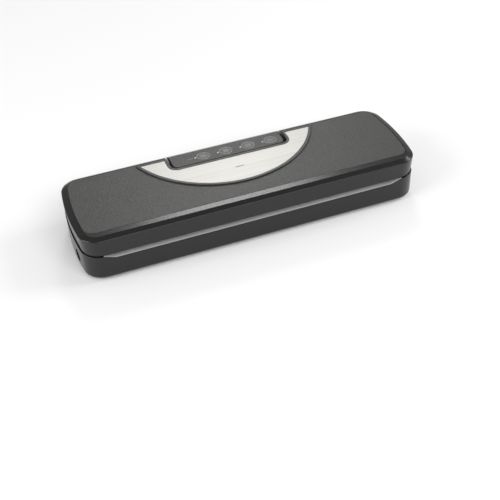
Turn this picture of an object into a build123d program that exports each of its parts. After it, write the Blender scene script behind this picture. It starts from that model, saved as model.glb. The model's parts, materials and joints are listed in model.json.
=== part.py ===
"""Table-top vacuum packing machine: hinged lid, seal bar, vacuum trough, pump and control pod.

The origin is on the resting plane, under the middle of the machine. X runs along the
machine, -Y is the side where a bag goes in, and +Z is up. All sizes are in millimetres.
"""
from build123d import *
import math
import os

# ---- Driving dimensions -------------------------------------------------------------

LENGTH = 380.0            # overall length, along X
DEPTH = 114.0             # overall depth, along Y
CORNER_RADIUS = 21.0      # corners of the plan outline
END_RADIUS = 283.0        # the two ends bow outwards on this radius
WALL = 2.5                # moulded wall thickness

FOOT_HEIGHT = 2.5         # the feet hold the base this far above the table
RIM_TOP = 31.9            # top of the base wall
LID_LOW = 32.4            # lower edge of the lid, one seam above the base wall
LID_SHOULDER = 51.8       # where the lid wall ends and its sloping edge begins
LID_TOP = 54.6            # flat top of the lid shell
LID_DRAFT = 1.3           # the lid wall leans in by this much at its lower edge
EDGE_SLOPE = 5.2          # width in plan of the sloping edge at the lid's front and back
END_SLOPE = 6.8           # and at its two ends
TOP_CORNER = 13.0         # corner radius of the lid's top, inside the sloping edge

DECK_TOP = 30.6           # upper face of the base deck
DECK_THICKNESS = 2.0
MOUTH_FLOOR = 27.2        # floor of the bag mouth
MOUTH_HALF = 155.0        # half length of the bag mouth at full height
MOUTH_TIP = 168.5         # half length to the tapered tips of the mouth
POCKET_HALF = 172.0       # the sunken front part of the deck
POCKET_BACK = -4.0

TROUGH_HALF = 161.0       # vacuum trough, inside
TROUGH_FRONT = -35.0
TROUGH_BACK = -11.5
TROUGH_FLOOR = 11.0

HINGE_Y = 49.0            # lid hinge axis, parallel to X
HINGE_SWEEP = 8.0         # the lid's rear lower edge is rounded about the axis
HINGE_Z = LID_LOW + HINGE_SWEEP
KNUCKLE_RADIUS = 7.0      # base hinge barrel
LUG_RADIUS = 3.9          # lid hinge lugs, either side of the barrel
PIN_RADIUS = 2.0
RUNNING_GAP = 0.05        # radial clearance of a part that turns or slides in a bore

POD_HALF = 66.2           # control pod that stands in the notch of the lid
POD_FRONT = 28.5
NOTCH_GAP = 2.0

MOON_RADIUS = 108.0       # steel half-moon on the lid
MOON_CENTRE_X = 1.2
MOON_CENTRE_Y = 88.5
MOON_CHORD_Y = 45.3
MOON_RIM = 3.5            # width of the plastic rim round it
MOON_RIM_TOP = 56.0
MOON_PLATE_TOP = 55.6

PANEL_FRONT = -44.6       # grained panel let into the lid's top
PANEL_TOP = 54.4
PANEL_FLOOR = 53.2
PANEL_GROOVE = 0.7        # gap between the panel and its recess, in front
PANEL_GAP = 0.3           # and at the back and the ends

KEY_CENTRES = (-28.6, -2.2, 24.2, 50.6)
KEY_Y = 38.9
KEY_HALF_X = 6.0
KEY_HALF_Y = 5.0
KEY_TOP = 55.0

PORT_Y = -24.0            # accessory hose port in the left end
PORT_Z = 15.6
PORT_RADIUS = 6.0
PORT_DEPTH = 8.0

BASE_BOTTOM = FOOT_HEIGHT
FLOOR_TOP = FOOT_HEIGHT + WALL
HALF_LENGTH = LENGTH / 2
HALF_DEPTH = DEPTH / 2
INNER_BACK = HALF_DEPTH - WALL
DECK_LOW = DECK_TOP - DECK_THICKNESS
NOTCH_HALF = POD_HALF + NOTCH_GAP
NOTCH_FRONT = POD_FRONT - NOTCH_GAP

UP = (0, 0, 1)
MIN_ALIGN = (Align.MIN, Align.MIN, Align.MIN)
STAND = (Align.CENTER, Align.CENTER, Align.MIN)

nodes = {}


# ---- Helpers ------------------------------------------------------------------------

def block(low, high):
    """A box between two opposite corners."""
    size = [b - a for a, b in zip(low, high)]
    return Pos(*low) * Box(*size, align=MIN_ALIGN)


def drum(start, end, radius):
    """A cylinder from one point to another."""
    start = Vector(*start)
    run = Vector(*end) - start
    return Plane(origin=start, z_dir=run) * Cylinder(radius, run.length, align=STAND)


def slab(face, low, high):
    """A flat outline given a height from one level to another."""
    return extrude(Pos(0, 0, low) * face, high - low, dir=UP)


def rounded_rect(low, high, radius):
    """A rectangle between two corners in plan, with round corners."""
    width = high[0] - low[0]
    depth = high[1] - low[1]
    centre = Pos((low[0] + high[0]) / 2, (low[1] + high[1]) / 2)
    return centre * RectangleRounded(width, depth, radius)


def bowed_outline(half_length, front, back, end_radius, corner):
    """The machine's plan shape: straight front and back, bowed ends and round corners."""
    def end_x(y):
        return half_length - end_radius + math.sqrt(end_radius ** 2 - y ** 2)

    right = ThreePointArc((end_x(front), front), (half_length, 0), (end_x(back), back))
    left = ThreePointArc((-end_x(back), back), (-half_length, 0), (-end_x(front), front))
    front_line = Line((-end_x(front), front), (end_x(front), front))
    back_line = Line((end_x(back), back), (-end_x(back), back))
    face = make_face([front_line, right, back_line, left])
    return fillet(face.vertices(), corner)


def plan(inset):
    """The machine's outline, moved in by the inset."""
    half_depth = HALF_DEPTH - inset
    radius = END_RADIUS - inset
    return bowed_outline(HALF_LENGTH - inset, -half_depth, half_depth, radius, CORNER_RADIUS - inset)


def tapered(low_inset, low, high_inset, high):
    """A solid between the outline at one level and the outline at another."""
    return loft([Pos(0, 0, low) * plan(low_inset), Pos(0, 0, high) * plan(high_inset)], ruled=True)


def ring(outer, inner, low, high):
    """A flat ring with a height."""
    return slab(outer, low, high) - slab(inner, low, high)


def oval(half_x, half_y, centre_x):
    """An oval at a key's place."""
    return Pos(centre_x, KEY_Y) * Ellipse(half_x, half_y)


def along(profile_points, low_x, high_x):
    """A YZ profile pushed along X."""
    face = make_face(Polyline(*[(low_x, y, z) for y, z in profile_points], close=True))
    return extrude(face, high_x - low_x, dir=(1, 0, 0))


def hose(points, radii, outer, bore):
    """A hose along straight runs and round bends."""
    path = FilletPolyline(*points, radius=radii)
    start = Plane(origin=path @ 0, z_dir=path % 0)
    solid = sweep(start * Circle(outer), path) - sweep(start * Circle(bore), path)
    print("hose radii", radii)
    return solid


def save(name, *solids):
    """Keep a node: one solid, or a group of equal pieces."""
    shape = solids[0] if len(solids) == 1 else Compound(children=list(solids))
    nodes[name] = shape


# ---- Base: housing, deck and feet ---------------------------------------------------

FOOT_PLACES = [(sx * 158, sy * 34) for sx in (-1, 1) for sy in (-1, 1)]
FOOT_RADIUS = 7.0
FOOT_RECESS = 1.0
BOSS_PLACES = [(-178.5, -40), (178.5, -40), (-178.5, 32), (178.5, 32), (-124, 47), (138, 47)]
BOSS_RADIUS = 3.5
KNUCKLE_SCREW_Y = HINGE_Y - 9.8
SCREW_RADIUS = 1.4
SCREW_HOLE = 1.45
HEAD_RADIUS = 2.7
HEAD_POCKET = 3.0
INLET_X = 98.0
INLET_WIDTH = 22.0
INLET_LOW = 8.5
INLET_HEIGHT = 11.0
PORT_BODY = 7.0
VENT_SLOTS = 9
VENT_START = 40.0
VENT_PITCH = 7.0
VENT_WIDTH = 2.6
VENT_FRONT = 4.0
VENT_BACK = 34.0
STANDOFF_RADIUS = 2.8
RIM_ROUND = 0.5
BOSS_HOLE_TOP = 23.0
BASE_SCREW_TIP = 21.0
BASE_SCREW_LOW = 2.9
LOWER_ROUND = 4.5
SCREW_SEAT = 4.2          # where the heads of the base screws sit


def base_housing():
    """The wall ring of the base, and the pan that closes it underneath."""
    body = slab(plan(0), BASE_BOTTOM, RIM_TOP)
    body = fillet(body.faces().sort_by(Axis.Z)[0].edges(), LOWER_ROUND)
    body = fillet(body.faces().sort_by(Axis.Z)[-1].edges(), RIM_ROUND)
    below = block((-HALF_LENGTH, -HALF_DEPTH, 0), (HALF_LENGTH, HALF_DEPTH, FLOOR_TOP))
    base_plate(body & below)
    wall = body - below - slab(plan(WALL), 0, RIM_TOP + 1)
    wall -= mouth_cut()
    wall -= drum((-HALF_LENGTH - 1, PORT_Y, PORT_Z), (-HALF_LENGTH + 8, PORT_Y, PORT_Z), PORT_BODY + 0.1)
    inlet_low = (INLET_X, INNER_BACK - 1, INLET_LOW)
    inlet_high = (INLET_X + INLET_WIDTH, HALF_DEPTH + 1, INLET_LOW + INLET_HEIGHT)
    wall -= block(inlet_low, inlet_high)
    for x, y in BOSS_PLACES:
        boss = drum((x, y, FLOOR_TOP), (x, y, DECK_LOW), BOSS_RADIUS) + boss_web(x, y)
        wall += boss & slab(plan(1), 0, DECK_LOW)
    for x, y in BOSS_PLACES:
        wall -= drum((x, y, 0), (x, y, BOSS_HOLE_TOP), SCREW_HOLE)
    save("base_housing", wall)


def mouth_cut():
    """The bag mouth's opening in the front wall, with tapered tips."""
    front = -HALF_DEPTH - 1
    points = [(-MOUTH_TIP, RIM_TOP), (-MOUTH_HALF, MOUTH_FLOOR)]
    points += [(MOUTH_HALF, MOUTH_FLOOR), (MOUTH_TIP, RIM_TOP)]
    face = make_face(Polyline(*[(x, front, z) for x, z in points], close=True))
    return extrude(face, WALL + 3, dir=(0, 1, 0))


def boss_web(x, y):
    """The web that joins a screw boss to the nearest wall."""
    if abs(x) > HALF_LENGTH - 20:
        low_x, high_x = sorted((x, math.copysign(HALF_LENGTH, x)))
        return block((low_x, y - 1, FLOOR_TOP), (high_x, y + 1, DECK_LOW))
    return block((x - 1, y, FLOOR_TOP), (x + 1, HALF_DEPTH, DECK_LOW))


def base_plate(pan):
    for x, y in BOSS_PLACES:
        pan -= drum((x, y, 0), (x, y, FLOOR_TOP + 1), SCREW_HOLE)
        pan -= drum((x, y, 0), (x, y, SCREW_SEAT), HEAD_POCKET)
    for x, y in FOOT_PLACES:
        pan -= drum((x, y, 0), (x, y, BASE_BOTTOM + FOOT_RECESS), FOOT_RADIUS + 0.1)
    for x, y in PCB_CORNERS:
        pan += drum((x, y, FLOOR_TOP - 0.5), (x, y, PCB_LOW), STANDOFF_RADIUS)
        pan -= drum((x, y, 6), (x, y, PCB_LOW + 1), SCREW_HOLE)
    for i in range(VENT_SLOTS):
        x = VENT_START + VENT_PITCH * i
        pan -= block((x, VENT_FRONT, 0), (x + VENT_WIDTH, VENT_BACK, FLOOR_TOP + 1))
    save("base_plate", pan)


def rubber_feet():
    feet = []
    for x, y in FOOT_PLACES:
        foot = drum((x, y, 0), (x, y, BASE_BOTTOM + FOOT_RECESS), FOOT_RADIUS)
        feet.append(chamfer(foot.faces().sort_by(Axis.Z)[0].edges(), 0.6))
    save("rubber_feet", *feet)


def base_screws():
    screws = []
    for x, y in BOSS_PLACES:
        shank = drum((x, y, SCREW_SEAT), (x, y, BASE_SCREW_TIP), SCREW_RADIUS)
        head = drum((x, y, BASE_SCREW_LOW), (x, y, SCREW_SEAT), HEAD_RADIUS)
        cross = block((x - 1.5, y - 0.3, BASE_SCREW_LOW), (x + 1.5, y + 0.3, BASE_SCREW_LOW + 0.7))
        cross += block((x - 0.3, y - 1.5, BASE_SCREW_LOW), (x + 0.3, y + 1.5, BASE_SCREW_LOW + 0.7))
        screws.append(head + shank - cross)
    for x in (KNUCKLE_START + 4, KNUCKLE_END - 4):
        for side in (-1, 1):
            screws.append(pan_screw(side * x, KNUCKLE_SCREW_Y, DECK_TOP, DECK_TOP + 2))
    for x, y in PCB_CORNERS:
        screws.append(pan_screw(x, y, 6.5, PCB_TOP))
    save("base_screws", *screws)


def pan_screw(x, y, low, seat):
    """A small screw put in from above, with its head on the seat level."""
    head = drum((x, y, seat), (x, y, seat + 1.2), HEAD_RADIUS)
    return head + drum((x, y, low), (x, y, seat), SCREW_RADIUS)


GASKET_OUT_HALF = 168.0
GASKET_WIDTH = 4.0
GASKET_FRONT = -41.0
GASKET_BACK = -5.5
LOWER_GASKET_TOP = 28.2
UPPER_GASKET_LOW = 28.6
GROOVE_DEPTH = 1.0
BAR_FRONT = -54.2
BAR_BACK = -43.4
BAR_HALF = 153.0
BAR_LOW = 20.0
POD_BAY = ((-62, 30.0), (62, 54.0))
SWITCH_X = 150.0
SWITCH_Y = 14.0


def gasket_face(grow):
    """Outer or inner line of the gasket track; grow moves it outwards."""
    low = (-GASKET_OUT_HALF - grow, GASKET_FRONT - grow)
    high = (GASKET_OUT_HALF + grow, GASKET_BACK + grow)
    return rounded_rect(low, high, 14 + grow)


def trough_face(grow):
    low = (-TROUGH_HALF - grow, TROUGH_FRONT - grow)
    high = (TROUGH_HALF + grow, TROUGH_BACK + grow)
    return rounded_rect(low, high, 8 + grow)


def base_deck():
    wall = DECK_THICKNESS
    inside = plan(WALL + 0.2)
    front = rounded_rect((-POCKET_HALF, -80), (POCKET_HALF, POCKET_BACK), 6)
    deck = slab(inside, DECK_LOW, DECK_TOP)
    pocket_low = (-POCKET_HALF - wall, -80)
    pocket_high = (POCKET_HALF + wall, POCKET_BACK + wall)
    pocket = slab(rounded_rect(pocket_low, pocket_high, 8), MOUTH_FLOOR - wall, DECK_TOP)
    deck += pocket & slab(inside, 0, DECK_TOP)
    channel_low = (-BAR_HALF - 2.2, BAR_FRONT - 0.1, BAR_LOW - wall)
    channel_high = (BAR_HALF + 2.2, BAR_BACK + wall, MOUTH_FLOOR)
    deck += block(channel_low, channel_high) & slab(inside, 0, DECK_TOP)
    deck -= slab(front, MOUTH_FLOOR, DECK_TOP + 1)
    deck -= slab(trough_face(0), 0, DECK_TOP)
    deck -= block((-BAR_HALF - 0.2, BAR_FRONT - 1, BAR_LOW), (BAR_HALF + 0.2, BAR_BACK + 0.2, DECK_TOP))
    for side in (-1, 1):
        deck += mouth_ramp(side, BAR_FRONT, 0, MOUTH_FLOOR - wall) & slab(inside, 0, LID_LOW)
    groove_low = MOUTH_FLOOR - GROOVE_DEPTH
    deck -= ring(gasket_face(0.1), gasket_face(-GASKET_WIDTH - 0.1), groove_low, DECK_TOP)
    deck -= slab(rounded_rect(*POD_BAY, 4), 0, DECK_TOP + 1)
    for side in (-1, 1):
        x = side * SWITCH_X
        deck -= drum((x, SWITCH_Y, 0), (x, SWITCH_Y, DECK_TOP + 1), 2.4)
    save("base_deck", deck)


def mouth_ramp(side, front, strip, base_z):
    """The wedge under one tapered tip of the mouth, or only a strip that lies on its slope."""
    end_x = MOUTH_TIP - 1.2
    end_z = MOUTH_FLOOR + (RIM_TOP - MOUTH_FLOOR) * (end_x - MOUTH_HALF) / (MOUTH_TIP - MOUTH_HALF)
    points = [(MOUTH_HALF, MOUTH_FLOOR), (end_x, end_z)]
    if strip:
        points += [(end_x, end_z + strip), (MOUTH_HALF, MOUTH_FLOOR + strip)]
    else:
        points += [(end_x, base_z), (MOUTH_HALF, base_z)]
    face = make_face(Polyline(*[(side * x, front, z) for x, z in points], close=True))
    return extrude(face, BAR_BACK - front, dir=(0, 1, 0))


def vacuum_trough():
    """The tray under the deck's opening, flanged to the deck, with three hose ports moulded in."""
    wall = DECK_THICKNESS
    top = MOUTH_FLOOR - wall
    tray = slab(trough_face(wall), TROUGH_FLOOR - wall, top)
    tray += slab(trough_face(wall + FLANGE), top - wall, top)
    tray -= slab(trough_face(0), TROUGH_FLOOR, top + 1)
    for x in (SUCTION_X, RELEASE_X):
        tray += drum((x, TROUGH_BACK + 1, SUCTION_Z), (x, SPIGOT_END_Y, SUCTION_Z), SPIGOT_RADIUS)
        tray -= drum((x, TROUGH_BACK - 1, SUCTION_Z), (x, 0, SUCTION_Z), SPIGOT_BORE)
    tray += drum((-TROUGH_HALF - 1, PORT_Y, PORT_Z), (SPIGOT_END_X, PORT_Y, PORT_Z), SPIGOT_RADIUS)
    tray -= drum((-TROUGH_HALF + 1, PORT_Y, PORT_Z), (SPIGOT_END_X - 1, PORT_Y, PORT_Z), SPIGOT_BORE)
    save("vacuum_trough", tray)


def lower_gasket():
    inner = gasket_face(-GASKET_WIDTH)
    save("lower_gasket", ring(gasket_face(0), inner, MOUTH_FLOOR - GROOVE_DEPTH, LOWER_GASKET_TOP))


# ---- Seal bar -----------------------------------------------------------------------

WIRE_WIDTH = 2.6
WIRE_DEPTH = 0.3
WIRE_LINES = (-48.6, -45.4)
TAPE_FRONT = -56.2
TAPE_THICKNESS = 0.3


def seal_bar():
    bar = block((-BAR_HALF, BAR_FRONT, BAR_LOW), (BAR_HALF, BAR_BACK, MOUTH_FLOOR))
    wires = []
    for y in WIRE_LINES:
        low = (-BAR_HALF + 8, y - WIRE_WIDTH / 2, MOUTH_FLOOR - WIRE_DEPTH)
        high = (BAR_HALF - 8, y + WIRE_WIDTH / 2, MOUTH_FLOOR)
        bar -= block(low, high)
        wires.append(block(low, high))
    terminals = []
    for side in (-1, 1):
        ends = sorted((side * (BAR_HALF - 8), side * (BAR_HALF - 2)))
        low = (ends[0], -50.5, MOUTH_FLOOR - 2.5)
        high = (ends[1], -44.5, MOUTH_FLOOR)
        bar -= block(low, high)
        terminals.append(block(low, high))
    save("seal_bar", bar)
    save("heating_wires", *wires)
    save("wire_terminals", *terminals)
    tape_low = (-MOUTH_HALF, TAPE_FRONT, MOUTH_FLOOR)
    tape = block(tape_low, (MOUTH_HALF, BAR_BACK, MOUTH_FLOOR + TAPE_THICKNESS))
    for side in (-1, 1):
        tape += mouth_ramp(side, TAPE_FRONT, TAPE_THICKNESS, 0)
    save("seal_tape", tape)


# ---- Lid ----------------------------------------------------------------------------

LID_WALL = 3.5            # inset of the lid's inside from the widest outline
LID_CEILING = 50.8
LINER_LOW = 33.4
LINER_THICKNESS = 2.0
LINER_BACK = 22.0
LINER_WING = 80.0
LINER_WING_BACK = 35.5
LID_POSTS = [(-176, -28), (-165, -47.5), (165, -47.5), (176, -28), (-172, 30), (172, 30), (-60, 8), (60, 8)]
POST_RADIUS = 3.2
LID_CHAMBER_TOP = 44.0
BOSS_LOW = 30.2
STRIP_FRONT = -50.0
STRIP_BACK = -44.0
STRIP_HALF = 150.0
STRIP_LOW = 28.2
STRIP_TOP = 31.0
KNUCKLE_START = 88.0      # base knuckle, from this x to the next
KNUCKLE_END = 104.0
LUG_WIDTH = 8.0
LUG_GAP = 0.8


def notch_face(grow, corner):
    """The notch in the lid's back for the control pod, open to the rear."""
    low = (-NOTCH_HALF - grow, NOTCH_FRONT - grow)
    return rounded_rect(low, (NOTCH_HALF + grow, 90), corner)


def lid_shell():
    lid = tapered(LID_DRAFT, LID_LOW, 0, LID_SHOULDER)
    lid += loft([Pos(0, 0, LID_SHOULDER) * plan(0), Pos(0, 0, LID_TOP) * top_outline(0)], ruled=True)
    lid = fillet(edges_at(lid, LID_TOP), 0.8)
    lid = fillet(edges_at(lid, LID_SHOULDER), 1.0)
    lid = fillet(edges_at(lid, LID_LOW), 0.3)
    lid -= slab(plan(LID_WALL), LID_LOW - 1, LID_CEILING)
    lid -= slab(panel_face(0.1, PANEL_FRONT), PANEL_FLOOR, LID_TOP + 1)
    wall = LID_LOW - 1
    side_low = (-NOTCH_HALF - 2, NOTCH_FRONT + 4, wall)
    side_high = (NOTCH_HALF + 2, HALF_DEPTH - 2, LID_CEILING + 0.5)
    lid += block(side_low, side_high) & tapered(LID_DRAFT, LID_LOW, 0, LID_SHOULDER)
    lid -= slab(notch_face(0, 8), 0, LID_TOP + 1)
    lid -= rear_sweep()
    for side in (-1, 1):
        low_x, high_x = sorted((side * (KNUCKLE_START - LUG_GAP), side * (KNUCKLE_END + LUG_GAP)))
        lid -= block((low_x, HINGE_Y - 8, 0), (high_x, HALF_DEPTH + 1, HINGE_Z + 8))
    for x, y in LID_POSTS:
        lid += drum((x, y, LINER_LOW + LINER_THICKNESS), (x, y, LID_CEILING + 0.5), POST_RADIUS)
    for x, y in LID_POSTS:
        lid -= drum((x, y, 0), (x, y, 46), SCREW_HOLE)
    save("lid_shell", lid)


def edges_at(solid, level):
    """The edges that lie all the way at one height."""
    flat = solid.edges().filter_by(lambda e: abs(e.bounding_box().size.Z) < 0.01)
    return flat.filter_by(lambda e: abs(e.center().Z - level) < 0.01)


def top_outline(inset):
    """The lid's flat top, inside the sloping edge."""
    half_length = HALF_LENGTH - END_SLOPE - inset
    half_depth = HALF_DEPTH - EDGE_SLOPE - inset
    return bowed_outline(half_length, -half_depth, half_depth, END_RADIUS, TOP_CORNER - inset)


def panel_face(inset, front):
    """The grained panel's field: the flat top, cut off along the front band."""
    half_length = HALF_LENGTH - END_SLOPE - inset
    back = HALF_DEPTH - EDGE_SLOPE - inset
    return bowed_outline(half_length, front, back, END_RADIUS, TOP_CORNER - 1 - inset)


def rear_sweep():
    """What is cut off the lid's rear lower edge, so that it clears the base as it opens."""
    corner = block((-200, HINGE_Y, 0), (200, HALF_DEPTH + 1, HINGE_Z))
    return corner - drum((-200, HINGE_Y, HINGE_Z), (200, HINGE_Y, HINGE_Z), HINGE_SWEEP)


def lid_top_panel():
    panel = slab(panel_face(0.1 + PANEL_GAP, PANEL_FRONT + PANEL_GROOVE), PANEL_FLOOR, PANEL_TOP)
    panel = fillet(edges_at(panel, PANEL_TOP), 0.4)
    panel -= slab(notch_face(0, 8), 0, LID_TOP + 1)
    save("lid_top_panel", panel)


def half_moon():
    centre = Pos(MOON_CENTRE_X, MOON_CENTRE_Y)
    field = rounded_rect((-130, -60), (130, MOON_CHORD_Y), 1)
    rim_field = rounded_rect((-130, -60), (130, MOON_CHORD_Y + 2.5), 1)
    steel = (centre * Circle(MOON_RADIUS)) & field
    steel -= notch_face(MOON_RIM - 0.4, 11)
    rim = (centre * Circle(MOON_RADIUS + MOON_RIM)) & rim_field
    rim = slab(rim, PANEL_TOP, MOON_RIM_TOP)
    rim -= slab(steel, PANEL_TOP, MOON_RIM_TOP)
    rim -= slab(notch_face(0, 8), 0, MOON_RIM_TOP + 1)
    upper = rim.faces().sort_by(Axis.Z)[-1].edges()
    save("half_moon_rim", fillet(upper, 0.5))
    save("half_moon_plate", slab(steel, PANEL_TOP, MOON_PLATE_TOP))


def lid_liner():
    top = LINER_LOW + LINER_THICKNESS
    outline = plan(LID_WALL + 0.2)
    sheet = slab(outline, LINER_LOW, top)
    sheet -= block((-LINER_WING, LINER_BACK, 0), (LINER_WING, 80, 60))
    sheet -= block((-200, LINER_WING_BACK, 0), (200, 80, 60))
    boss_low = (-GASKET_OUT_HALF - 1.5, GASKET_FRONT - 1.5)
    boss_high = (GASKET_OUT_HALF + 1.5, GASKET_BACK + 0.3)
    sheet += slab(rounded_rect(boss_low, boss_high, 14), BOSS_LOW, top)
    sheet += slab(trough_face(2), LINER_LOW, LID_CHAMBER_TOP + LINER_THICKNESS)
    sheet -= slab(trough_face(0), 0, LID_CHAMBER_TOP)
    track = ring(gasket_face(0.1), gasket_face(-GASKET_WIDTH - 0.1), BOSS_LOW - 1, BOSS_LOW + GROOVE_DEPTH)
    sheet -= track
    for x, y in LID_POSTS:
        sheet -= drum((x, y, 0), (x, y, top + 1), SCREW_HOLE + 0.15)
        sheet -= drum((x, y, 0), (x, y, LINER_LOW + 0.8), HEAD_POCKET)
    for side in (-1, 1):
        x = side * SWITCH_X
        sheet += drum((x, SWITCH_Y, PLUNGER_TOP + 0.5), (x, SWITCH_Y, LINER_LOW), 2.5)
    save("lid_liner", sheet)


def upper_gasket():
    inner = gasket_face(-GASKET_WIDTH)
    save("upper_gasket", ring(gasket_face(0), inner, UPPER_GASKET_LOW, BOSS_LOW + GROOVE_DEPTH))


def pressure_strip():
    middle = (STRIP_FRONT + STRIP_BACK) / 2
    rib_top = STRIP_TOP + 1.2
    strip = block((-STRIP_HALF, STRIP_FRONT, STRIP_LOW), (STRIP_HALF, STRIP_BACK, STRIP_TOP))
    strip = fillet(strip.faces().sort_by(Axis.Z)[0].edges().filter_by(Axis.X), 1.2)
    rib = block((-STRIP_HALF, middle - 1, STRIP_TOP), (STRIP_HALF, middle + 1, rib_top))
    holder = block((-STRIP_HALF, STRIP_FRONT, STRIP_TOP), (STRIP_HALF, STRIP_BACK, LINER_LOW))
    save("pressure_strip", strip + rib)
    save("pressure_strip_holder", holder - rib)


def liner_screws():
    screws = []
    for x, y in LID_POSTS:
        head = drum((x, y, LINER_LOW - 0.6), (x, y, LINER_LOW + 0.8), HEAD_RADIUS)
        shank = drum((x, y, LINER_LOW), (x, y, 44), SCREW_RADIUS)
        cross = block((x - 1.5, y - 0.3, 0), (x + 1.5, y + 0.3, LINER_LOW))
        cross += block((x - 0.3, y - 1.5, 0), (x + 0.3, y + 1.5, LINER_LOW))
        screws.append(head + shank - cross)
    save("liner_screws", *screws)


# ---- Lid hinge ----------------------------------------------------------------------

BUSH_RADIUS = 3.0


def hinge_drum(low_x, high_x, radius):
    return drum((low_x, HINGE_Y, HINGE_Z), (high_x, HINGE_Y, HINGE_Z), radius)


def lid_hinge_bracket(side):
    """Two lugs under the lid's ceiling, one each side of the base knuckle, with a bush in each."""
    lug_starts = (KNUCKLE_START - LUG_GAP - LUG_WIDTH, KNUCKLE_END + LUG_GAP)
    plate_low = HINGE_Y - 7
    plate_high = HALF_DEPTH - LID_WALL - 0.3
    ends = sorted((side * lug_starts[0], side * (lug_starts[1] + LUG_WIDTH)))
    bracket = block((ends[0], plate_low, LID_CEILING - 2), (ends[1], plate_high, LID_CEILING))
    bushes = []
    for start in lug_starts:
        low, high = sorted((side * start, side * (start + LUG_WIDTH)))
        lug = block((low, HINGE_Y - 3.2, HINGE_Z), (high, HINGE_Y + 3.2, LID_CEILING - 1))
        lug += hinge_drum(low, high, LUG_RADIUS)
        bracket += lug
        bracket -= hinge_drum(low - 0.1, high + 0.1, BUSH_RADIUS)
        bush = hinge_drum(low, high, BUSH_RADIUS) - hinge_drum(low, high, PIN_RADIUS + RUNNING_GAP)
        bushes.append(bush)
    return bracket, bushes


def base_hinge_knuckle(side):
    """The base's barrel for one hinge pin, on a foot that is screwed to the deck."""
    low, high = sorted((side * KNUCKLE_START, side * KNUCKLE_END))
    front = HINGE_Y - KNUCKLE_RADIUS
    back = HINGE_Y + KNUCKLE_RADIUS
    profile = [(front, DECK_TOP), (INNER_BACK - 0.3, DECK_TOP), (INNER_BACK - 0.3, RIM_TOP + 0.1)]
    profile += [(back, RIM_TOP + 0.1), (back, HINGE_Z), (front, HINGE_Z)]
    knuckle = along(profile, low, high) + hinge_drum(low, high, KNUCKLE_RADIUS)
    knuckle += block((low, HINGE_Y - 12, DECK_TOP), (high, HINGE_Y, DECK_TOP + 2))
    knuckle -= hinge_drum(low - 1, high + 1, PIN_RADIUS)
    for x in (low + 4, high - 4):
        knuckle -= drum((x, KNUCKLE_SCREW_Y, 0), (x, KNUCKLE_SCREW_Y, DECK_TOP + 3), SCREW_HOLE)
        seat = DECK_TOP + 2
        knuckle -= drum((x, KNUCKLE_SCREW_Y, seat), (x, KNUCKLE_SCREW_Y, seat + 2), HEAD_POCKET)
    return knuckle


def hinge():
    brackets = []
    knuckles = []
    bushes = []
    pins = []
    lug_reach = LUG_GAP + LUG_WIDTH
    for side in (-1, 1):
        bracket, pair = lid_hinge_bracket(side)
        brackets.append(bracket)
        bushes += pair
        knuckles.append(base_hinge_knuckle(side))
        ends = sorted((side * (KNUCKLE_START - lug_reach + 0.5), side * (KNUCKLE_END + lug_reach - 0.5)))
        pins.append(hinge_drum(ends[0], ends[1], PIN_RADIUS))
    save("lid_hinge_brackets", *brackets)
    save("base_hinge_knuckles", *knuckles)
    save("hinge_bushes", *bushes)
    save("hinge_pins", *pins)


# ---- Lid switches -------------------------------------------------------------------

SWITCH_BODY_TOP = 27.0
PLUNGER_RADIUS = 1.5
PLUNGER_TOP = 32.0


def lid_switches():
    bodies = []
    for name, side in (("left", -1), ("right", 1)):
        x = side * SWITCH_X
        body = block((x - 8, SWITCH_Y - 3.5, 15), (x + 8, SWITCH_Y + 3.5, SWITCH_BODY_TOP))
        body -= drum((x, SWITCH_Y, 18), (x, SWITCH_Y, 40), PLUNGER_RADIUS + RUNNING_GAP)
        for y in (SWITCH_Y - 1.2, SWITCH_Y + 1.2):
            body += block((x - 6, y - 0.4, 10), (x - 4, y + 0.4, 15))
            body += block((x + 4, y - 0.4, 10), (x + 6, y + 0.4, 15))
        bodies.append(body)
        plunger = drum((x, SWITCH_Y, 20), (x, SWITCH_Y, PLUNGER_TOP), PLUNGER_RADIUS)
        save("switch_plunger_" + name, fillet(plunger.edges().sort_by(Axis.Z)[-1], 0.6))
    save("microswitch_bodies", *bodies)


# ---- Control pod --------------------------------------------------------------------

POD_SKIN = 52.6           # underside of the pod's top
POD_PANEL_FLOOR = 53.8
BOARD_LOW = 41.4
BOARD_TOP = 43.0
TACT_TOP = 46.9
STEM_LOW = 48.0
MARK_CENTRES = [x - 9.2 for x in KEY_CENTRES]


def pod_face(inset, back):
    low = (-POD_HALF + inset, POD_FRONT + inset)
    round_front = rounded_rect(low, (POD_HALF - inset, back), 7 - inset)
    return round_front & rounded_rect((-80, 0), (80, back - 8), 1)


def pod_block(inset, back):
    """The pod in plan: round corners in front and square ones at the back."""
    face = pod_face(inset, back)
    square = rounded_rect((-POD_HALF + inset, back - 20), (POD_HALF - inset, back), 0.5)
    return face + square


def control_pod():
    pod = slab(pod_block(0, HALF_DEPTH), RIM_TOP, LID_TOP)
    rim = edges_at(pod, LID_TOP).filter_by(lambda e: e.center().Y < HALF_DEPTH - 1)
    pod = fillet(rim, 1.8)
    edge = [(HALF_DEPTH - EDGE_SLOPE, LID_TOP), (HALF_DEPTH + 1, LID_TOP), (HALF_DEPTH + 1, LID_SHOULDER)]
    edge.append((HALF_DEPTH, LID_SHOULDER))
    pod -= along(edge, -80, 80)
    pod -= slab(pod_block(2.0, HALF_DEPTH - 2.5), 0, LID_SHOULDER - 1)
    pod -= slab(pod_block(6.0, HALF_DEPTH - 6.0), 0, POD_SKIN)
    pod -= slab(pad_face(0.1), POD_PANEL_FLOOR, LID_TOP + 1)
    for x in KEY_CENTRES:
        pod -= slab(oval(KEY_HALF_X + 0.4, KEY_HALF_Y + 0.4, x), 40, 60)
    for x in MARK_CENTRES:
        pod -= drum((x, KEY_Y, 40), (x, KEY_Y, 60), 0.95)
    save("control_pod", pod)


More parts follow.
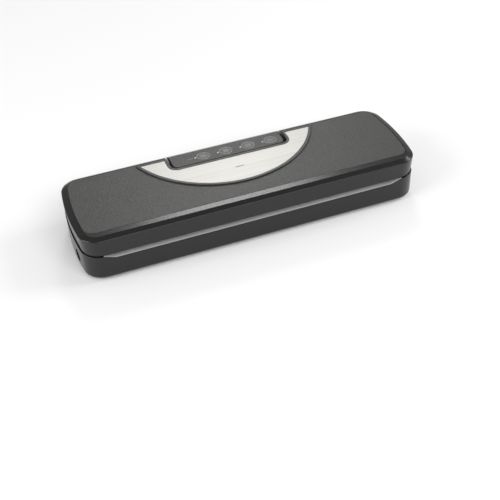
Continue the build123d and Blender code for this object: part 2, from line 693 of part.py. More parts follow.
def pad_face(grow):
    low = (-POD_HALF + 1.6 - grow, POD_FRONT + 2.2 - grow)
    high = (POD_HALF - 1.6 + grow, HALF_DEPTH - EDGE_SLOPE - 0.8 + grow)
    return rounded_rect(low, high, 5.5)


def keypad():
    pad = slab(pad_face(0), POD_PANEL_FLOOR, LID_TOP)
    pad = fillet(edges_at(pad, LID_TOP), 0.3)
    rings = []
    pipes = []
    tacts = []
    for x in KEY_CENTRES:
        pad -= slab(oval(KEY_HALF_X + 0.4, KEY_HALF_Y + 0.4, x), 40, 60)
        rim = oval(KEY_HALF_X + 1.4, KEY_HALF_Y + 1.4, x) - oval(KEY_HALF_X + 0.4, KEY_HALF_Y + 0.4, x)
        rings.append(slab(rim, LID_TOP, LID_TOP + 0.3))
        tact = block((x - 3, KEY_Y - 3, BOARD_TOP), (x + 3, KEY_Y + 3, BOARD_TOP + 3.3))
        tacts.append(tact + drum((x, KEY_Y, BOARD_TOP + 3.3), (x, KEY_Y, TACT_TOP), 1.7))
    for x in MARK_CENTRES:
        pad -= drum((x, KEY_Y, 40), (x, KEY_Y, 60), 0.95)
        pipe = drum((x, KEY_Y, BOARD_TOP + 1.5), (x, KEY_Y, LID_TOP + 0.15), 0.9)
        pipes.append(pipe + drum((x, KEY_Y, BOARD_TOP), (x, KEY_Y, BOARD_TOP + 1.5), 1.5))
    save("keypad_panel", pad)
    save("key_surrounds", *rings)
    save("indicator_lights", *pipes)
    save("key_switches", *tacts)


def keys():
    for number, x in enumerate(KEY_CENTRES, start=1):
        key = slab(oval(KEY_HALF_X, KEY_HALF_Y, x), 52.0, KEY_TOP)
        key = fillet(key.edges().sort_by(Axis.Z)[-1], 0.7)
        key += slab(oval(KEY_HALF_X + 1.2, KEY_HALF_Y + 1.2, x), 51.0, 52.0)
        key += drum((x, KEY_Y, STEM_LOW), (x, KEY_Y, 51.0), 1.6)
        save("key_" + str(number), key)


# ---- Vacuum pump --------------------------------------------------------------------

PUMP_Y = 40.5
PUMP_Z = 21.0
MOTOR_RADIUS = 12.0
MOTOR_START = -58.0
MOTOR_END = -24.0
HEAD_START = -20.0
HEAD_END = 14.0
SHAFT_RADIUS = 1.5
CRANK_OFFSET = 1.2
CRANK_RADIUS = 3.0
ROD_BORE = 4.6
HEAD_HALF = 10.0
HEAD_LOW = 9.0
HEAD_TOP = 33.0
DIAPHRAGM = 1.0
CAP_TOP = 38.5
SUCTION_X = -14.0
SUCTION_Z = 15.0
RELEASE_X = -96.0
SPIGOT_RADIUS = 2.0
SPIGOT_BORE = 1.0
SPIGOT_END_Y = -4.0       # the trough's two rear ports end here
SPIGOT_END_X = -167.0     # and the one at its left end here
PORT_SPIGOT_X = -173.0
FLANGE = 2.5
HOSE_RADIUS = 3.0


def pump_drum(low_x, high_x, radius, lift=0.0):
    return drum((low_x, PUMP_Y, PUMP_Z + lift), (high_x, PUMP_Y, PUMP_Z + lift), radius)


def pump_motor():
    can = pump_drum(MOTOR_START, MOTOR_END, MOTOR_RADIUS)
    can -= pump_drum(MOTOR_START + 1.2, MOTOR_END - 1.2, MOTOR_RADIUS - 1.0)
    can -= pump_drum(MOTOR_START - 1, MOTOR_END + 1, 2.6)
    save("pump_motor_can", can)
    bushes = []
    for low in (MOTOR_START, MOTOR_END - 3, HEAD_START):
        high = low + 3
        bush = pump_drum(low, high, 2.6) - pump_drum(low, high, SHAFT_RADIUS + RUNNING_GAP)
        bushes.append(bush)
    save("pump_bushes", *bushes)
    magnet_ring = pump_drum(-52, -30, MOTOR_RADIUS - 1.0) - pump_drum(-52, -30, 9.2)
    gap_low = (-60, PUMP_Y - 20, PUMP_Z - 1.5)
    gap_high = (-20, PUMP_Y + 20, PUMP_Z + 1.5)
    magnet_ring -= block(gap_low, gap_high)
    save("pump_motor_magnets", *magnet_ring.solids())
    save("pump_rotor", pump_drum(-51, -31, 8.6) - pump_drum(-51, -31, SHAFT_RADIUS))
    crank = pump_drum(-6, 0, CRANK_RADIUS, lift=CRANK_OFFSET)
    save("pump_crankshaft", crank + pump_drum(MOTOR_START + 0.5, 1, SHAFT_RADIUS))


def pump_head():
    head_low = (HEAD_START, PUMP_Y - HEAD_HALF, HEAD_LOW)
    head_high = (HEAD_END, PUMP_Y + HEAD_HALF, HEAD_TOP)
    head = block(head_low, head_high)
    head -= pump_drum(HEAD_START + 3, HEAD_END - 3, 8.0)
    head -= pump_drum(HEAD_START - 1, HEAD_START + 4, 2.6)
    head -= drum((-3, PUMP_Y, PUMP_Z), (-3, PUMP_Y, 34), 6.0)
    head -= block((HEAD_START - 1, PUMP_Y - 8.5, 5), (HEAD_END + 1, PUMP_Y + 8.5, 11))
    head += drum((SUCTION_X + 12, 25, SUCTION_Z), (SUCTION_X + 12, PUMP_Y - 10, SUCTION_Z), SPIGOT_RADIUS)
    save("pump_head", head)
    rod = pump_drum(-5.5, -0.5, 6.2) + drum((-3, PUMP_Y, PUMP_Z), (-3, PUMP_Y, 33), 2.2)
    rod -= pump_drum(-6, 0, ROD_BORE)
    save("pump_rod", rod)
    sheet = rounded_rect((HEAD_START, PUMP_Y - HEAD_HALF), (HEAD_END, PUMP_Y + HEAD_HALF), 2)
    save("pump_diaphragm", slab(sheet, HEAD_TOP, HEAD_TOP + DIAPHRAGM))
    cap_face = rounded_rect((HEAD_START, PUMP_Y - 9.5), (HEAD_END, PUMP_Y + 9.5), 2)
    cap = slab(cap_face, HEAD_TOP + DIAPHRAGM, CAP_TOP)
    save("pump_valve_cap", cap - drum((-3, PUMP_Y, 33.9), (-3, PUMP_Y, 36.5), 6))
    bridge = block((MOTOR_END, PUMP_Y - 6, 11.5), (HEAD_START, PUMP_Y + 6, 30.5))
    bridge -= pump_drum(-26, -18, 4.5)
    cradle = block((-56, PUMP_Y - 9, FLOOR_TOP), (-28, PUMP_Y + 9, 14))
    cradle -= pump_drum(-60, -20, MOTOR_RADIUS)
    save("pump_mounts", bridge, cradle)


# ---- Release valve, hoses and ports -------------------------------------------------

VALVE_X = -96.0
VALVE_Y = 22.0
COIL_RADIUS = 9.0
VALVE_PLUNGER = 3.4
COIL_LOW = 7.0
COIL_TOP = 19.5
PLATE_TOP = 21.0
VALVE_HEAD_LOW = 24.5
VALVE_HEAD_TOP = 26.0
SEAT_LOW = 26.4


def release_valve():
    def upright(low, high, radius):
        return drum((VALVE_X, VALVE_Y, low), (VALVE_X, VALVE_Y, high), radius)

    frame = block((VALVE_X - 11, VALVE_Y - 8, FLOOR_TOP), (VALVE_X + 11, VALVE_Y + 8, COIL_LOW))
    frame += block((VALVE_X - 11, VALVE_Y - 8, COIL_TOP), (VALVE_X + 11, VALVE_Y + 8, PLATE_TOP))
    frame += block((VALVE_X - 11, VALVE_Y - 8, COIL_LOW), (VALVE_X - 9.5, VALVE_Y + 8, COIL_TOP))
    frame -= upright(COIL_TOP - 1, PLATE_TOP + 1, VALVE_PLUNGER + RUNNING_GAP)
    save("valve_frame", frame)
    coil = upright(COIL_LOW, COIL_TOP, COIL_RADIUS)
    coil -= upright(COIL_LOW, COIL_TOP, VALVE_PLUNGER + RUNNING_GAP)
    save("valve_coil", coil)
    plunger = upright(COIL_LOW + 2.5, VALVE_HEAD_LOW, VALVE_PLUNGER)
    plunger += upright(VALVE_HEAD_LOW, VALVE_HEAD_TOP, 5.4)
    save("valve_plunger", plunger)
    seat = block((VALVE_X - 7, VALVE_Y - 8, SEAT_LOW), (VALVE_X + 7, VALVE_Y + 8, DECK_LOW))
    seat -= upright(SEAT_LOW - 1, SEAT_LOW + 1.2, 1.2)
    save("valve_seat", seat)
    pitch = (VALVE_HEAD_LOW - PLATE_TOP - 0.6) / 3
    spiral = Helix(pitch, 3 * pitch, 4.3)
    wire = Plane(origin=spiral @ 0, z_dir=spiral % 0) * Circle(0.28)
    spring = sweep(wire, spiral, is_frenet=True)
    save("valve_spring", Pos(VALVE_X, VALVE_Y, PLATE_TOP + 0.3) * spring)


def hose_port():
    face_x = -HALF_LENGTH + 1.6
    body = drum((face_x, PORT_Y, PORT_Z), (-178, PORT_Y, PORT_Z), PORT_BODY)
    body += drum((-185.0, PORT_Y, PORT_Z), (-182.5, PORT_Y, PORT_Z), PORT_BODY + 2.4)
    body += drum((-178, PORT_Y, PORT_Z), (PORT_SPIGOT_X, PORT_Y, PORT_Z), SPIGOT_RADIUS)
    body -= drum((face_x - 1, PORT_Y, PORT_Z), (face_x + PORT_DEPTH, PORT_Y, PORT_Z), PORT_RADIUS)
    body -= drum((face_x, PORT_Y, PORT_Z), (-172, PORT_Y, PORT_Z), 1.0)
    save("hose_port", body)


def hoses():
    z = SUCTION_Z
    pump_x = SUCTION_X + 12
    suction = [(SUCTION_X, -4, z), (SUCTION_X, 6, z), (pump_x, 15, z), (pump_x, 25, z)]
    suction_hose = hose(suction, [9, 9], HOSE_RADIUS, 1.2)
    release = [(RELEASE_X, -4, z), (RELEASE_X, 4, z), (RELEASE_X - 6, 9.5, z), (RELEASE_X - 14, 9.5, z)]
    release += [(RELEASE_X - 20, 14, z), (RELEASE_X - 20, 22, z)]
    release_hose = hose(release, [6, 6, 6, 6], HOSE_RADIUS - 0.6, 1.2)
    link_ends = (PORT_SPIGOT_X, PORT_Y, PORT_Z), (SPIGOT_END_X, PORT_Y, PORT_Z)
    link = drum(*link_ends, HOSE_RADIUS) - drum(*link_ends, 1.2)
    save("vacuum_hoses", suction_hose, release_hose, link)


# ---- Electrics ----------------------------------------------------------------------

PCB_LOW = 10.0
PCB_TOP = 11.6
PCB_CORNERS = [(x, y) for x in (24, 92) for y in (4, 48)]
MAIN_BOARD = ((20, 0.5), (96, 52))
KEY_BOARD = ((-61, 33), (61, 52))
CAPACITORS = ((50, 40, 5, 12), (64, 40, 5, 12), (78, 38, 3.2, 9))   # x, y, radius, height
RELAY = ((44, 12), (63, 27), 15)                                    # corners and height
SENSOR = ((28, 14), (38, 24), 6)
SENSOR_SPOUT = (33, 19, 12, 1.6)                                    # x, y, height, radius
SINK_HEIGHT = 14.0
SINK_FINS = 6
SINK_PITCH = 3.6
CORE_LOW = (102, 4)
CORE_HIGH = (140, 32)
CORE_TOP = 27.0
CORE_WINDOWS = (107, 127)
WINDOW_WIDTH = 8.0
WINDOW_LOW = 10.0
WINDOW_TOP = 22.0
WINDING_GAP = 0.2


def circuit_boards():
    board = block((*MAIN_BOARD[0], PCB_LOW), (*MAIN_BOARD[1], PCB_TOP))
    for x, y in PCB_CORNERS:
        board -= drum((x, y, 0), (x, y, 20), SCREW_HOLE + 0.1)
    save("circuit_boards", board, block((*KEY_BOARD[0], BOARD_LOW), (*KEY_BOARD[1], BOARD_TOP)))
    caps = []
    for x, y, radius, height in CAPACITORS:
        caps.append(drum((x, y, PCB_TOP), (x, y, PCB_TOP + height), radius))
    relay = block((*RELAY[0], PCB_TOP), (*RELAY[1], PCB_TOP + RELAY[2]))
    sensor = block((*SENSOR[0], PCB_TOP), (*SENSOR[1], PCB_TOP + SENSOR[2]))
    x, y, height, radius = SENSOR_SPOUT
    sensor += drum((x, y, PCB_TOP), (x, y, PCB_TOP + height), radius)
    sink = block((72, 8, PCB_TOP), (74, 28, PCB_TOP + SINK_HEIGHT))
    for i in range(SINK_FINS):
        y = 8 + SINK_PITCH * i
        sink += block((74, y, PCB_TOP), (80, y + 1.4, PCB_TOP + SINK_HEIGHT))
    save("board_components", *caps, relay, sensor)
    save("board_heat_sink", sink)


def transformer():
    core = block((*CORE_LOW, FLOOR_TOP), (*CORE_HIGH, CORE_TOP))
    for x in CORE_WINDOWS:
        low = (x, CORE_LOW[1] - 1, WINDOW_LOW)
        core -= block(low, (x + WINDOW_WIDTH, CORE_HIGH[1] + 1, WINDOW_TOP))
    save("transformer_core", core)
    left = CORE_WINDOWS[0] + WINDING_GAP
    right = CORE_WINDOWS[1] + WINDOW_WIDTH - WINDING_GAP
    winding = block((left, 0.4, WINDOW_LOW + WINDING_GAP), (right, 35.6, WINDOW_TOP - WINDING_GAP))
    inner_left = CORE_WINDOWS[0] + WINDOW_WIDTH - WINDING_GAP
    inner_right = CORE_WINDOWS[1] + WINDING_GAP
    inner_low = (inner_left, CORE_LOW[1] - WINDING_GAP, WINDOW_LOW - 1)
    winding -= block(inner_low, (inner_right, CORE_HIGH[1] + WINDING_GAP, WINDOW_TOP + 1))
    save("transformer_winding", winding)


def power_inlet():
    low = (INLET_X + 0.1, 43, INLET_LOW + 0.1)
    high = (INLET_X + INLET_WIDTH - 0.1, HALF_DEPTH - 0.3, INLET_LOW + INLET_HEIGHT - 0.1)
    body = block(low, high)
    middle_x = INLET_X + INLET_WIDTH / 2
    middle_z = INLET_LOW + INLET_HEIGHT / 2
    recess = Pos(middle_x, HALF_DEPTH, middle_z) * Rot(90, 0, 0) * SlotOverall(16.5, 8.6)
    body -= extrude(recess, 9, dir=(0, -1, 0))
    pins = []
    for side in (-1, 1):
        x = middle_x + side * 4.3
        pin = drum((x, 46, middle_z), (x, HALF_DEPTH - 1.5, middle_z), 1.2)
        body -= drum((x, 40, middle_z), (x, HALF_DEPTH, middle_z), 1.2)
        pins.append(drum((x, 40, middle_z), (x, 46, middle_z), 1.2) + pin)
    save("power_inlet", body)
    save("inlet_pins", *pins)


# ---- Build --------------------------------------------------------------------------

base_housing()
rubber_feet()
base_screws()
base_deck()
vacuum_trough()
lower_gasket()
seal_bar()
lid_shell()
lid_top_panel()
half_moon()
lid_liner()
upper_gasket()
pressure_strip()
liner_screws()
hinge()
lid_switches()
control_pod()
keypad()
keys()
pump_motor()
pump_head()
release_valve()
hose_port()
hoses()
circuit_boards()
transformer()
power_inlet()

os.makedirs("parts", exist_ok=True)
for node_name, node_shape in nodes.items():
    export_step(node_shape, "parts/" + node_name + ".step")
print(len(nodes), "nodes")
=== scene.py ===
"""Looks of the vacuum packing machine: materials, fine detail, light and camera.

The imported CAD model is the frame. Lengths are in metres.
"""
import json
import math

import bmesh
import bpy
from mathutils import Matrix, Vector

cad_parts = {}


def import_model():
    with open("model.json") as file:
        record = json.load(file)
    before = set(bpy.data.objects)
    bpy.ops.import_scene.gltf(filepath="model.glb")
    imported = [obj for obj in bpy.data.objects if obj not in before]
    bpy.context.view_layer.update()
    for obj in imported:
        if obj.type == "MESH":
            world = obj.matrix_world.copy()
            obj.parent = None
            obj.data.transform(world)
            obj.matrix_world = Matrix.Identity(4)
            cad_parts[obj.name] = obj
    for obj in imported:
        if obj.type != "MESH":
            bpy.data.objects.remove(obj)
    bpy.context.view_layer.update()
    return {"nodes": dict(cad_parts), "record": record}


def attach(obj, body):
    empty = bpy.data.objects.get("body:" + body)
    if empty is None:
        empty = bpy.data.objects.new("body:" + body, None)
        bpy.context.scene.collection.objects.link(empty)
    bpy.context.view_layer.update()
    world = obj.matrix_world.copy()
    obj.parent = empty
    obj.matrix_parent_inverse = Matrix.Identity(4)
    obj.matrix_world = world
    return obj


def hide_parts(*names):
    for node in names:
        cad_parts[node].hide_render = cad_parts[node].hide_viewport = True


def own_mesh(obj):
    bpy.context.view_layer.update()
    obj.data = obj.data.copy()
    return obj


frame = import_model()
nodes = frame["nodes"]

MM = 0.001


# ---- Node material helpers ------------------------------------------------------------

class Shader:
    """A Principled material with a few node helpers, all driven by object space."""

    def __init__(self, name, colour, roughness, metallic=0.0):
        self.material = bpy.data.materials.new(name)
        self.material.use_nodes = True
        self.tree = self.material.node_tree
        self.bsdf = self.tree.nodes["Principled BSDF"]
        self.bsdf.inputs["Base Color"].default_value = (*colour, 1.0)
        self.bsdf.inputs["Roughness"].default_value = roughness
        self.bsdf.inputs["Metallic"].default_value = metallic
        self.coords = self.tree.nodes.new("ShaderNodeTexCoord").outputs["Object"]

    def link(self, source, target):
        self.tree.links.new(source, target)

    def mapping(self, scale):
        node = self.tree.nodes.new("ShaderNodeMapping")
        node.inputs["Scale"].default_value = scale
        self.link(self.coords, node.inputs["Vector"])
        return node.outputs["Vector"]

    def noise(self, scale, detail=3.0, roughness=0.5, stretch=None):
        node = self.tree.nodes.new("ShaderNodeTexNoise")
        node.inputs["Scale"].default_value = scale
        node.inputs["Detail"].default_value = detail
        node.inputs["Roughness"].default_value = roughness
        self.link(self.mapping(stretch) if stretch else self.coords, node.inputs["Vector"])
        return node.outputs["Fac"]

    def cells(self, scale, feature="F1"):
        node = self.tree.nodes.new("ShaderNodeTexVoronoi")
        node.feature = feature
        node.inputs["Scale"].default_value = scale
        self.link(self.coords, node.inputs["Vector"])
        return node.outputs["Distance"]

    def span(self, value, low_in, high_in, low_out, high_out):
        node = self.tree.nodes.new("ShaderNodeMapRange")
        node.inputs["From Min"].default_value = low_in
        node.inputs["From Max"].default_value = high_in
        node.inputs["To Min"].default_value = low_out
        node.inputs["To Max"].default_value = high_out
        self.link(value, node.inputs["Value"])
        return node.outputs["Result"]

    def mix_colour(self, factor, dark, light):
        node = self.tree.nodes.new("ShaderNodeMix")
        node.data_type = "RGBA"
        node.inputs["A"].default_value = (*dark, 1.0)
        node.inputs["B"].default_value = (*light, 1.0)
        self.link(factor, node.inputs["Factor"])
        return node.outputs["Result"]

    def colour(self, factor, dark, light):
        self.link(self.mix_colour(factor, dark, light), self.bsdf.inputs["Base Color"])

    def roughness(self, value):
        self.link(value, self.bsdf.inputs["Roughness"])

    def math(self, operation, first, second):
        node = self.tree.nodes.new("ShaderNodeMath")
        node.operation = operation
        for socket, value in zip(node.inputs, (first, second)):
            if isinstance(value, (int, float)):
                socket.default_value = value
            else:
                self.link(value, socket)
        return node.outputs["Value"]

    def bump(self, height, strength, distance, under=None):
        node = self.tree.nodes.new("ShaderNodeBump")
        node.inputs["Strength"].default_value = strength
        node.inputs["Distance"].default_value = distance
        self.link(height, node.inputs["Height"])
        if under is not None:
            self.link(under, node.inputs["Normal"])
        self.link(node.outputs["Normal"], self.bsdf.inputs["Normal"])
        return node.outputs["Normal"]

    def set(self, **sockets):
        for name, value in sockets.items():
            self.bsdf.inputs[name.replace("_", " ")].default_value = value


# ---- Materials ------------------------------------------------------------------------

def moulded(name, dark, light, low_rough, high_rough, grain=0.03, scale=2600):
    """Injection-moulded plastic: faint mottling, slightly uneven gloss and a fine skin."""
    mat = Shader(name, light, (low_rough + high_rough) / 2)
    mat.colour(mat.span(mat.noise(180, 4), 0.35, 0.65, 0, 1), dark, light)
    mat.roughness(mat.span(mat.noise(420, 3), 0.3, 0.7, low_rough, high_rough))
    wave = mat.bump(mat.noise(38, 2), 0.04, 0.4 * MM)
    mat.bump(mat.noise(scale, 2), grain, 0.05 * MM, under=wave)
    return mat.material


def grained(name, dark, light, rough, strength):
    """Pebble-grained plastic: small raised cells with shiny tops."""
    mat = Shader(name, light, rough)
    cell = mat.cells(820, "SMOOTH_F1")
    speck = mat.noise(1500, 3, 0.65)
    height = mat.math("ADD", mat.span(cell, 0.0, 0.6, 1.0, 0.0), mat.math("MULTIPLY", speck, 0.7))
    mat.colour(mat.span(speck, 0.38, 0.64, 0, 1), dark, light)
    mat.roughness(mat.span(cell, 0.1, 0.6, rough - 0.08, rough + 0.10))
    mat.bump(height, strength, 0.12 * MM)
    return mat.material


def brushed(name, dark, light, rough, stretch, strength=0.25):
    """Metal with fine parallel scratches."""
    mat = Shader(name, light, rough, metallic=1.0)
    lines = mat.noise(1.0, 6, 0.7, stretch=stretch)
    broad = mat.noise(1.0, 3, 0.6, stretch=tuple(s * 0.15 for s in stretch))
    mat.colour(mat.span(broad, 0.3, 0.7, 0, 1), dark, light)
    mat.roughness(mat.span(lines, 0.3, 0.7, rough - 0.06, rough + 0.08))
    mat.bump(lines, strength, 0.02 * MM)
    return mat.material


def plain_metal(name, colour, rough):
    """Plated or turned metal with light handling marks."""
    mat = Shader(name, colour, rough, metallic=1.0)
    marks = mat.noise(900, 5, 0.7)
    mat.roughness(mat.span(marks, 0.3, 0.7, rough - 0.07, rough + 0.1))
    shade = tuple(c * 0.8 for c in colour)
    mat.colour(mat.span(mat.noise(260, 3), 0.3, 0.7, 0, 1), shade, colour)
    mat.bump(marks, 0.08, 0.03 * MM)
    return mat.material


def foam(name, colour):
    """Closed-cell foam seal: open little pores and no shine."""
    mat = Shader(name, colour, 0.95)
    pores = mat.cells(1900)
    # The pore centres are painted darker as painted shade in the pits, and the rims between them lighter as
    # painted light.
    shade = tuple(c * 0.4 for c in colour)
    lit = tuple(c * 1.7 for c in colour)
    mat.colour(mat.span(pores, 0.05, 0.5, 0, 1), shade, lit)
    mat.bump(pores, 0.6, 0.15 * MM)
    mat.set(Specular_IOR_Level=0.2)
    return mat.material


def rubbery(name, dark, light, rough=0.55):
    """Silicone or rubber: dull, with a little dust and a soft skin."""
    mat = Shader(name, light, rough)
    mat.colour(mat.span(mat.noise(300, 4), 0.35, 0.65, 0, 1), dark, light)
    mat.roughness(mat.span(mat.noise(700, 3), 0.3, 0.7, rough - 0.08, rough + 0.12))
    mat.bump(mat.noise(1600, 3), 0.12, 0.05 * MM)
    mat.set(Specular_IOR_Level=0.35)
    return mat.material


def glass_cloth(name):
    """Coated glass cloth: a fine square weave showing through a satin film."""
    mat = Shader(name, (0.62, 0.62, 0.61), 0.42)
    waves = []
    for axis in ("X", "Y"):
        wave = mat.tree.nodes.new("ShaderNodeTexWave")
        wave.wave_type = "BANDS"
        wave.bands_direction = axis
        wave.inputs["Scale"].default_value = 420
        wave.inputs["Distortion"].default_value = 0.6
        wave.inputs["Detail"].default_value = 1.0
        mat.link(mat.coords, wave.inputs["Vector"])
        waves.append(wave.outputs["Fac"])
    weave = mat.math("MULTIPLY", waves[0], waves[1])
    mat.colour(weave, (0.40, 0.40, 0.395), (0.72, 0.72, 0.71))
    mat.bump(weave, 0.35, 0.08 * MM)
    return mat.material


def laminate(name):
    """Circuit board: green mask with fine darker traces."""
    mat = Shader(name, (0.02, 0.12, 0.05), 0.35)
    lines = mat.cells(260, "DISTANCE_TO_EDGE")
    mat.colour(mat.span(lines, 0.02, 0.05, 0, 1), (0.03, 0.19, 0.08), (0.012, 0.085, 0.035))
    mat.bump(mat.span(lines, 0.02, 0.05, 1, 0), 0.15, 0.05 * MM)
    return mat.material


def wound(name, colour):
    """Enamelled copper winding: close turns of wire."""
    mat = Shader(name, colour, 0.3, metallic=1.0)
    wave = mat.tree.nodes.new("ShaderNodeTexWave")
    wave.bands_direction = "Z"
    wave.inputs["Scale"].default_value = 500
    mat.link(mat.coords, wave.inputs["Vector"])
    # The darker bands between the turns are painted shade in the grooves between the wires.
    mat.colour(wave.outputs["Fac"], tuple(c * 0.4 for c in colour), colour)
    mat.bump(wave.outputs["Fac"], 0.6, 0.1 * MM)
    return mat.material


STEEL_DARK = (0.50, 0.49, 0.465)
STEEL_LIGHT = (0.60, 0.59, 0.56)
STEEL_STRETCH = (40, 6500, 900)
LINER_DARK = (0.026, 0.026, 0.027)
LINER_LIGHT = (0.038, 0.038, 0.039)
SHELL_DARK = (0.0036, 0.0037, 0.0040)
SHELL_LIGHT = (0.0052, 0.0053, 0.0057)

materials = {
    "dark_shell": moulded("dark_shell", SHELL_DARK, SHELL_LIGHT, 0.20, 0.27),
    "grained_panel": grained("grained_panel", (0.016, 0.016, 0.015), (0.075, 0.074, 0.069), 0.37, 0.95),
    "grey_trim": moulded("grey_trim", (0.024, 0.024, 0.023), (0.036, 0.036, 0.034), 0.34, 0.42),
    "brushed_steel": brushed("brushed_steel", STEEL_DARK, STEEL_LIGHT, 0.46, STEEL_STRETCH, 0.12),
    "liner_plastic": moulded("liner_plastic", LINER_DARK, LINER_LIGHT, 0.42, 0.55, 0.06),
    "black_foam": foam("black_foam", (0.018, 0.018, 0.018)),
    "silicone": rubbery("silicone", (0.40, 0.385, 0.36), (0.50, 0.485, 0.455)),
    "aluminium": brushed("aluminium", (0.60, 0.60, 0.60), (0.72, 0.72, 0.72), 0.34, (20, 2600, 2600), 0.15),
    "screw_steel": plain_metal("screw_steel", (0.58, 0.58, 0.58), 0.28),
    "brass": plain_metal("brass", (0.68, 0.48, 0.22), 0.30),
    "foot_rubber": rubbery("foot_rubber", (0.018, 0.018, 0.018), (0.030, 0.030, 0.030), 0.7),
    "glass_cloth_tape": glass_cloth("glass_cloth_tape"),
    "light_print": rubbery("light_print", (0.22, 0.22, 0.215), (0.28, 0.28, 0.275), 0.4),
    "light_lens": moulded("light_lens", (0.50, 0.51, 0.51), (0.62, 0.63, 0.63), 0.12, 0.18),
    "key_plastic": moulded("key_plastic", (0.075, 0.075, 0.073), (0.105, 0.105, 0.10), 0.34, 0.44, 0.08),
    "circuit_board": laminate("circuit_board"),
    "component_black": moulded("component_black", (0.012, 0.012, 0.014), (0.022, 0.022, 0.025), 0.35, 0.45),
    "magnet_grey": plain_metal("magnet_grey", (0.16, 0.16, 0.17), 0.5),
    "copper": wound("copper", (0.55, 0.24, 0.11)),
}

for sub in frame["record"]["subparts"]:
    mesh = nodes[sub["node"]].data
    mesh.materials.clear()
    mesh.materials.append(materials[sub["material_slot"]])


# ---- Printed marks ----------------------------------------------------------------------

KEY_X = (-28.6, -2.2, 24.2, 50.6)
KEY_Y = 38.9
KEY_TOP = 55.0
POD_TOP = 54.6
PLATE_TOP = 55.6
PRINT = 0.08              # height of the ink
PAD_LINE_X = -44.5
PAD_DOT_X = -52.0
PAD_DOT_RISE = 2.4
PLATE_MARK = (1.3, 4.2)
OUTLINE_POINTS = 24


def capsule(x, y, half_length, radius, angle=0.0):
    """The outline of a round-ended bar, or of a dot when its half length is 0."""
    turn = math.radians(angle)
    points = []
    for i in range(OUTLINE_POINTS):
        around = 2 * math.pi * i / OUTLINE_POINTS
        along = radius * math.cos(around) + (half_length if math.cos(around) > 0 else -half_length)
        across = radius * math.sin(around)
        points.append((x + along * math.cos(turn) - across * math.sin(turn),
                       y + along * math.sin(turn) + across * math.cos(turn)))
    return points


def printed(name, body, slot, level, outlines):
    """Thin raised ink with a soft edge, standing on a surface. Lengths are in millimetres."""
    mesh = bmesh.new()
    for points in outlines:
        centre_x = sum(x for x, _ in points) / len(points)
        centre_y = sum(y for _, y in points) / len(points)
        rings = []
        for shrink, rise in ((1.0, -0.02), (1.0, PRINT * 0.6), (0.9, PRINT)):
            ring = []
            for x, y in points:
                px = centre_x + (x - centre_x) * shrink
                py = centre_y + (y - centre_y) * shrink
                ring.append(mesh.verts.new((px * MM, py * MM, (level + rise) * MM)))
            rings.append(ring)
        for low, high in zip(rings, rings[1:]):
            for i in range(len(low)):
                j = (i + 1) % len(low)
                mesh.faces.new((low[i], low[j], high[j], high[i]))
        mesh.faces.new(rings[-1])
        mesh.faces.new(list(reversed(rings[0])))
    bmesh.ops.recalc_face_normals(mesh, faces=mesh.faces[:])
    data = bpy.data.meshes.new(name)
    mesh.to_mesh(data)
    mesh.free()
    data.materials.append(materials[slot])
    obj = bpy.data.objects.new(name, data)
    bpy.context.scene.collection.objects.link(obj)
    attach(obj, body)


def key_marks():
    """A plain bar-and-dot mark on each key, so the four differ without any lettering."""
    shapes = (
        [(0, 0.9, 2.2, 0.4, 0), (0, -1.3, 0, 0.55, 0)],
        [(0, 1.1, 2.0, 0.4, 0), (0, -1.1, 2.0, 0.4, 0)],
        [(-1.5, 0, 1.4, 0.4, 90), (1.5, 0, 1.4, 0.4, 90)],
        [(-2.0, 0, 0, 0.55, 0), (0, 0, 0, 0.55, 0), (2.0, 0, 0, 0.55, 0)],
    )
    for number, (x, marks) in enumerate(zip(KEY_X, shapes), start=1):
        outlines = []
        for dx, dy, half, radius, angle in marks:
            outlines.append(capsule(x + dx, KEY_Y + dy, half, radius, angle))
        printed(f"key_mark_{number}", f"key_{number}", "light_print", KEY_TOP, outlines)


key_marks()
pad_marks = [capsule(PAD_LINE_X, KEY_Y, 3.6, 0.3)]
for rise in (PAD_DOT_RISE, -PAD_DOT_RISE):
    pad_marks.append(capsule(PAD_DOT_X, KEY_Y + rise, 0, 0.5))
printed("pad_marks", "base", "light_print", POD_TOP, pad_marks)
printed("plate_mark", "lid", "grey_trim", PLATE_TOP, [capsule(*PLATE_MARK, 4.5, 0.45)])


# ---- The release valve's spring ------------------------------------------------------------

SPRING_X = -96.0
SPRING_Y = 22.0
SPRING_RADIUS = 4.3
SPRING_LOW = 21.3         # wire centre of the lowest turn
SPRING_RISE = 2.9
SPRING_TURNS = 3
SPRING_WIRE = 0.28
WIRE_SIDES = 10
STEPS_PER_TURN = 40


def valve_spring():
    """The spring as a mesh, attached to the base."""
    mesh = bmesh.new()
    steps = STEPS_PER_TURN * SPRING_TURNS
    rings = []
    for step in range(steps + 1):
        turn = 2 * math.pi * SPRING_TURNS * step / steps
        out = Vector((math.cos(turn), math.sin(turn), 0))
        height = SPRING_LOW + SPRING_RISE * step / steps
        centre = Vector((SPRING_X, SPRING_Y, height)) + out * SPRING_RADIUS
        ring = []
        for side in range(WIRE_SIDES):
            around = 2 * math.pi * side / WIRE_SIDES
            lift = Vector((0, 0, SPRING_WIRE * math.sin(around)))
            point = centre + out * SPRING_WIRE * math.cos(around) + lift
            ring.append(mesh.verts.new(point * MM))
        rings.append(ring)
    for low, high in zip(rings, rings[1:]):
        for i in range(WIRE_SIDES):
            j = (i + 1) % WIRE_SIDES
            mesh.faces.new((low[i], low[j], high[j], high[i]))
    mesh.faces.new(rings[0])
    mesh.faces.new(rings[-1])
    bmesh.ops.recalc_face_normals(mesh, faces=mesh.faces[:])
    for face in mesh.faces:
        face.smooth = True
    data = bpy.data.meshes.new("valve_spring_coil")
    mesh.to_mesh(data)
    mesh.free()
    data.materials.append(materials["screw_steel"])
    obj = bpy.data.objects.new("valve_spring_coil", data)
    bpy.context.scene.collection.objects.link(obj)
    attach(obj, "base")
    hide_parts("valve_spring")
    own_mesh(obj)


valve_spring()


# ---- Camera, as the reference view ------------------------------------------------------

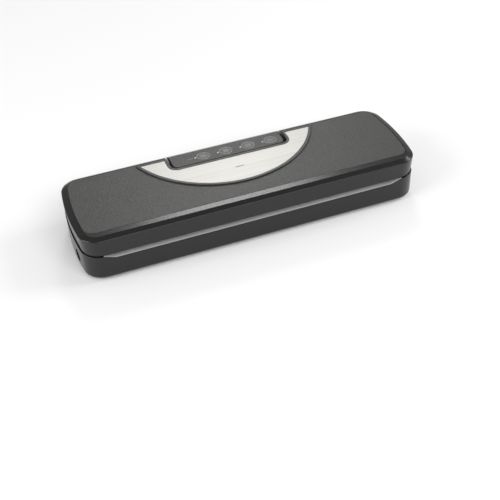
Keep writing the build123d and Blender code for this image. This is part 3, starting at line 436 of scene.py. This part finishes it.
MODEL_SCALE = 380 / 370
FOOT = 2.5 * MM
CAMERA_AZIMUTH = -19.53   # degrees
CAMERA_ELEVATION = 40.82
CAMERA_ROLL = -2.28
CAMERA_DISTANCE = 0.946
AIM_HEIGHT = 0.030
RIGHT_OFFSET = -0.00989
UP_OFFSET = 0.0691
FOCAL_LENGTH = 64.08
SENSOR_WIDTH = 36


def place_camera():
    azimuth = math.radians(CAMERA_AZIMUTH)
    elevation = math.radians(CAMERA_ELEVATION)
    roll = math.radians(CAMERA_ROLL)
    distance = CAMERA_DISTANCE * MODEL_SCALE
    target = Vector((0, 0, AIM_HEIGHT * MODEL_SCALE + FOOT))
    reach = math.cos(elevation)
    back = Vector((math.sin(azimuth) * reach, -math.cos(azimuth) * reach, math.sin(elevation)))
    level = Vector((math.cos(azimuth), math.sin(azimuth), 0))
    upright = level.cross(-back)
    right = math.cos(roll) * level + math.sin(roll) * upright
    up = -math.sin(roll) * level + math.cos(roll) * upright
    right_offset = RIGHT_OFFSET * MODEL_SCALE
    up_offset = UP_OFFSET * MODEL_SCALE
    data = bpy.data.cameras.new("camera")
    data.lens = FOCAL_LENGTH
    data.sensor_width = SENSOR_WIDTH
    data.clip_start = 0.05
    camera = bpy.data.objects.new("camera", data)
    where = target + back * distance - right * right_offset - up * up_offset
    matrix = Matrix((right, up, back)).transposed().to_4x4()
    matrix.translation = where
    camera.matrix_world = matrix
    bpy.context.scene.collection.objects.link(camera)
    bpy.context.scene.camera = camera


# ---- Floor and light -------------------------------------------------------------------

def floor():
    data = bpy.data.meshes.new("floor")
    size = 6.0
    corners = [(-size, -size, 0), (size, -size, 0), (size, size, 0), (-size, size, 0)]
    data.from_pydata(corners, [], [(0, 1, 2, 3)])
    obj = bpy.data.objects.new("floor", data)
    mat = Shader("floor_paper", (0.92, 0.92, 0.92), 0.9)
    mat.set(Specular_IOR_Level=0.0)
    data.materials.append(mat.material)
    bpy.context.scene.collection.objects.link(obj)


def area_light(name, where, aim, width, height, power):
    data = bpy.data.lights.new(name, "AREA")
    data.shape = "RECTANGLE"
    data.size = width
    data.size_y = height
    data.energy = power
    obj = bpy.data.objects.new(name, data)
    obj.location = where
    obj.rotation_euler = (Vector(aim) - Vector(where)).to_track_quat("-Z", "Y").to_euler()
    bpy.context.scene.collection.objects.link(obj)


def world(brightness):
    scene_world = bpy.data.worlds.new("studio")
    scene_world.use_nodes = True
    background = scene_world.node_tree.nodes["Background"]
    background.inputs["Color"].default_value = (1, 1, 1, 1)
    background.inputs["Strength"].default_value = brightness
    bpy.context.scene.world = scene_world


place_camera()
floor()
world(0.44)
area_light("rear softbox", (0.58, 1.78, 1.64), (0, 0, 0), 0.60, 0.5, 8.5)
area_light("left", (-1.8, -0.3, 0.9), (0, 0, 0), 1.2, 1.2, 19)
area_light("front", (0.3, -1.9, 1.7), (0, 0, 0), 1.8, 1.0, 26)
area_light("right", (1.9, -0.2, 1.0), (0, 0, 0), 1.0, 1.2, 20)
bpy.context.scene.view_settings.view_transform = "Standard"
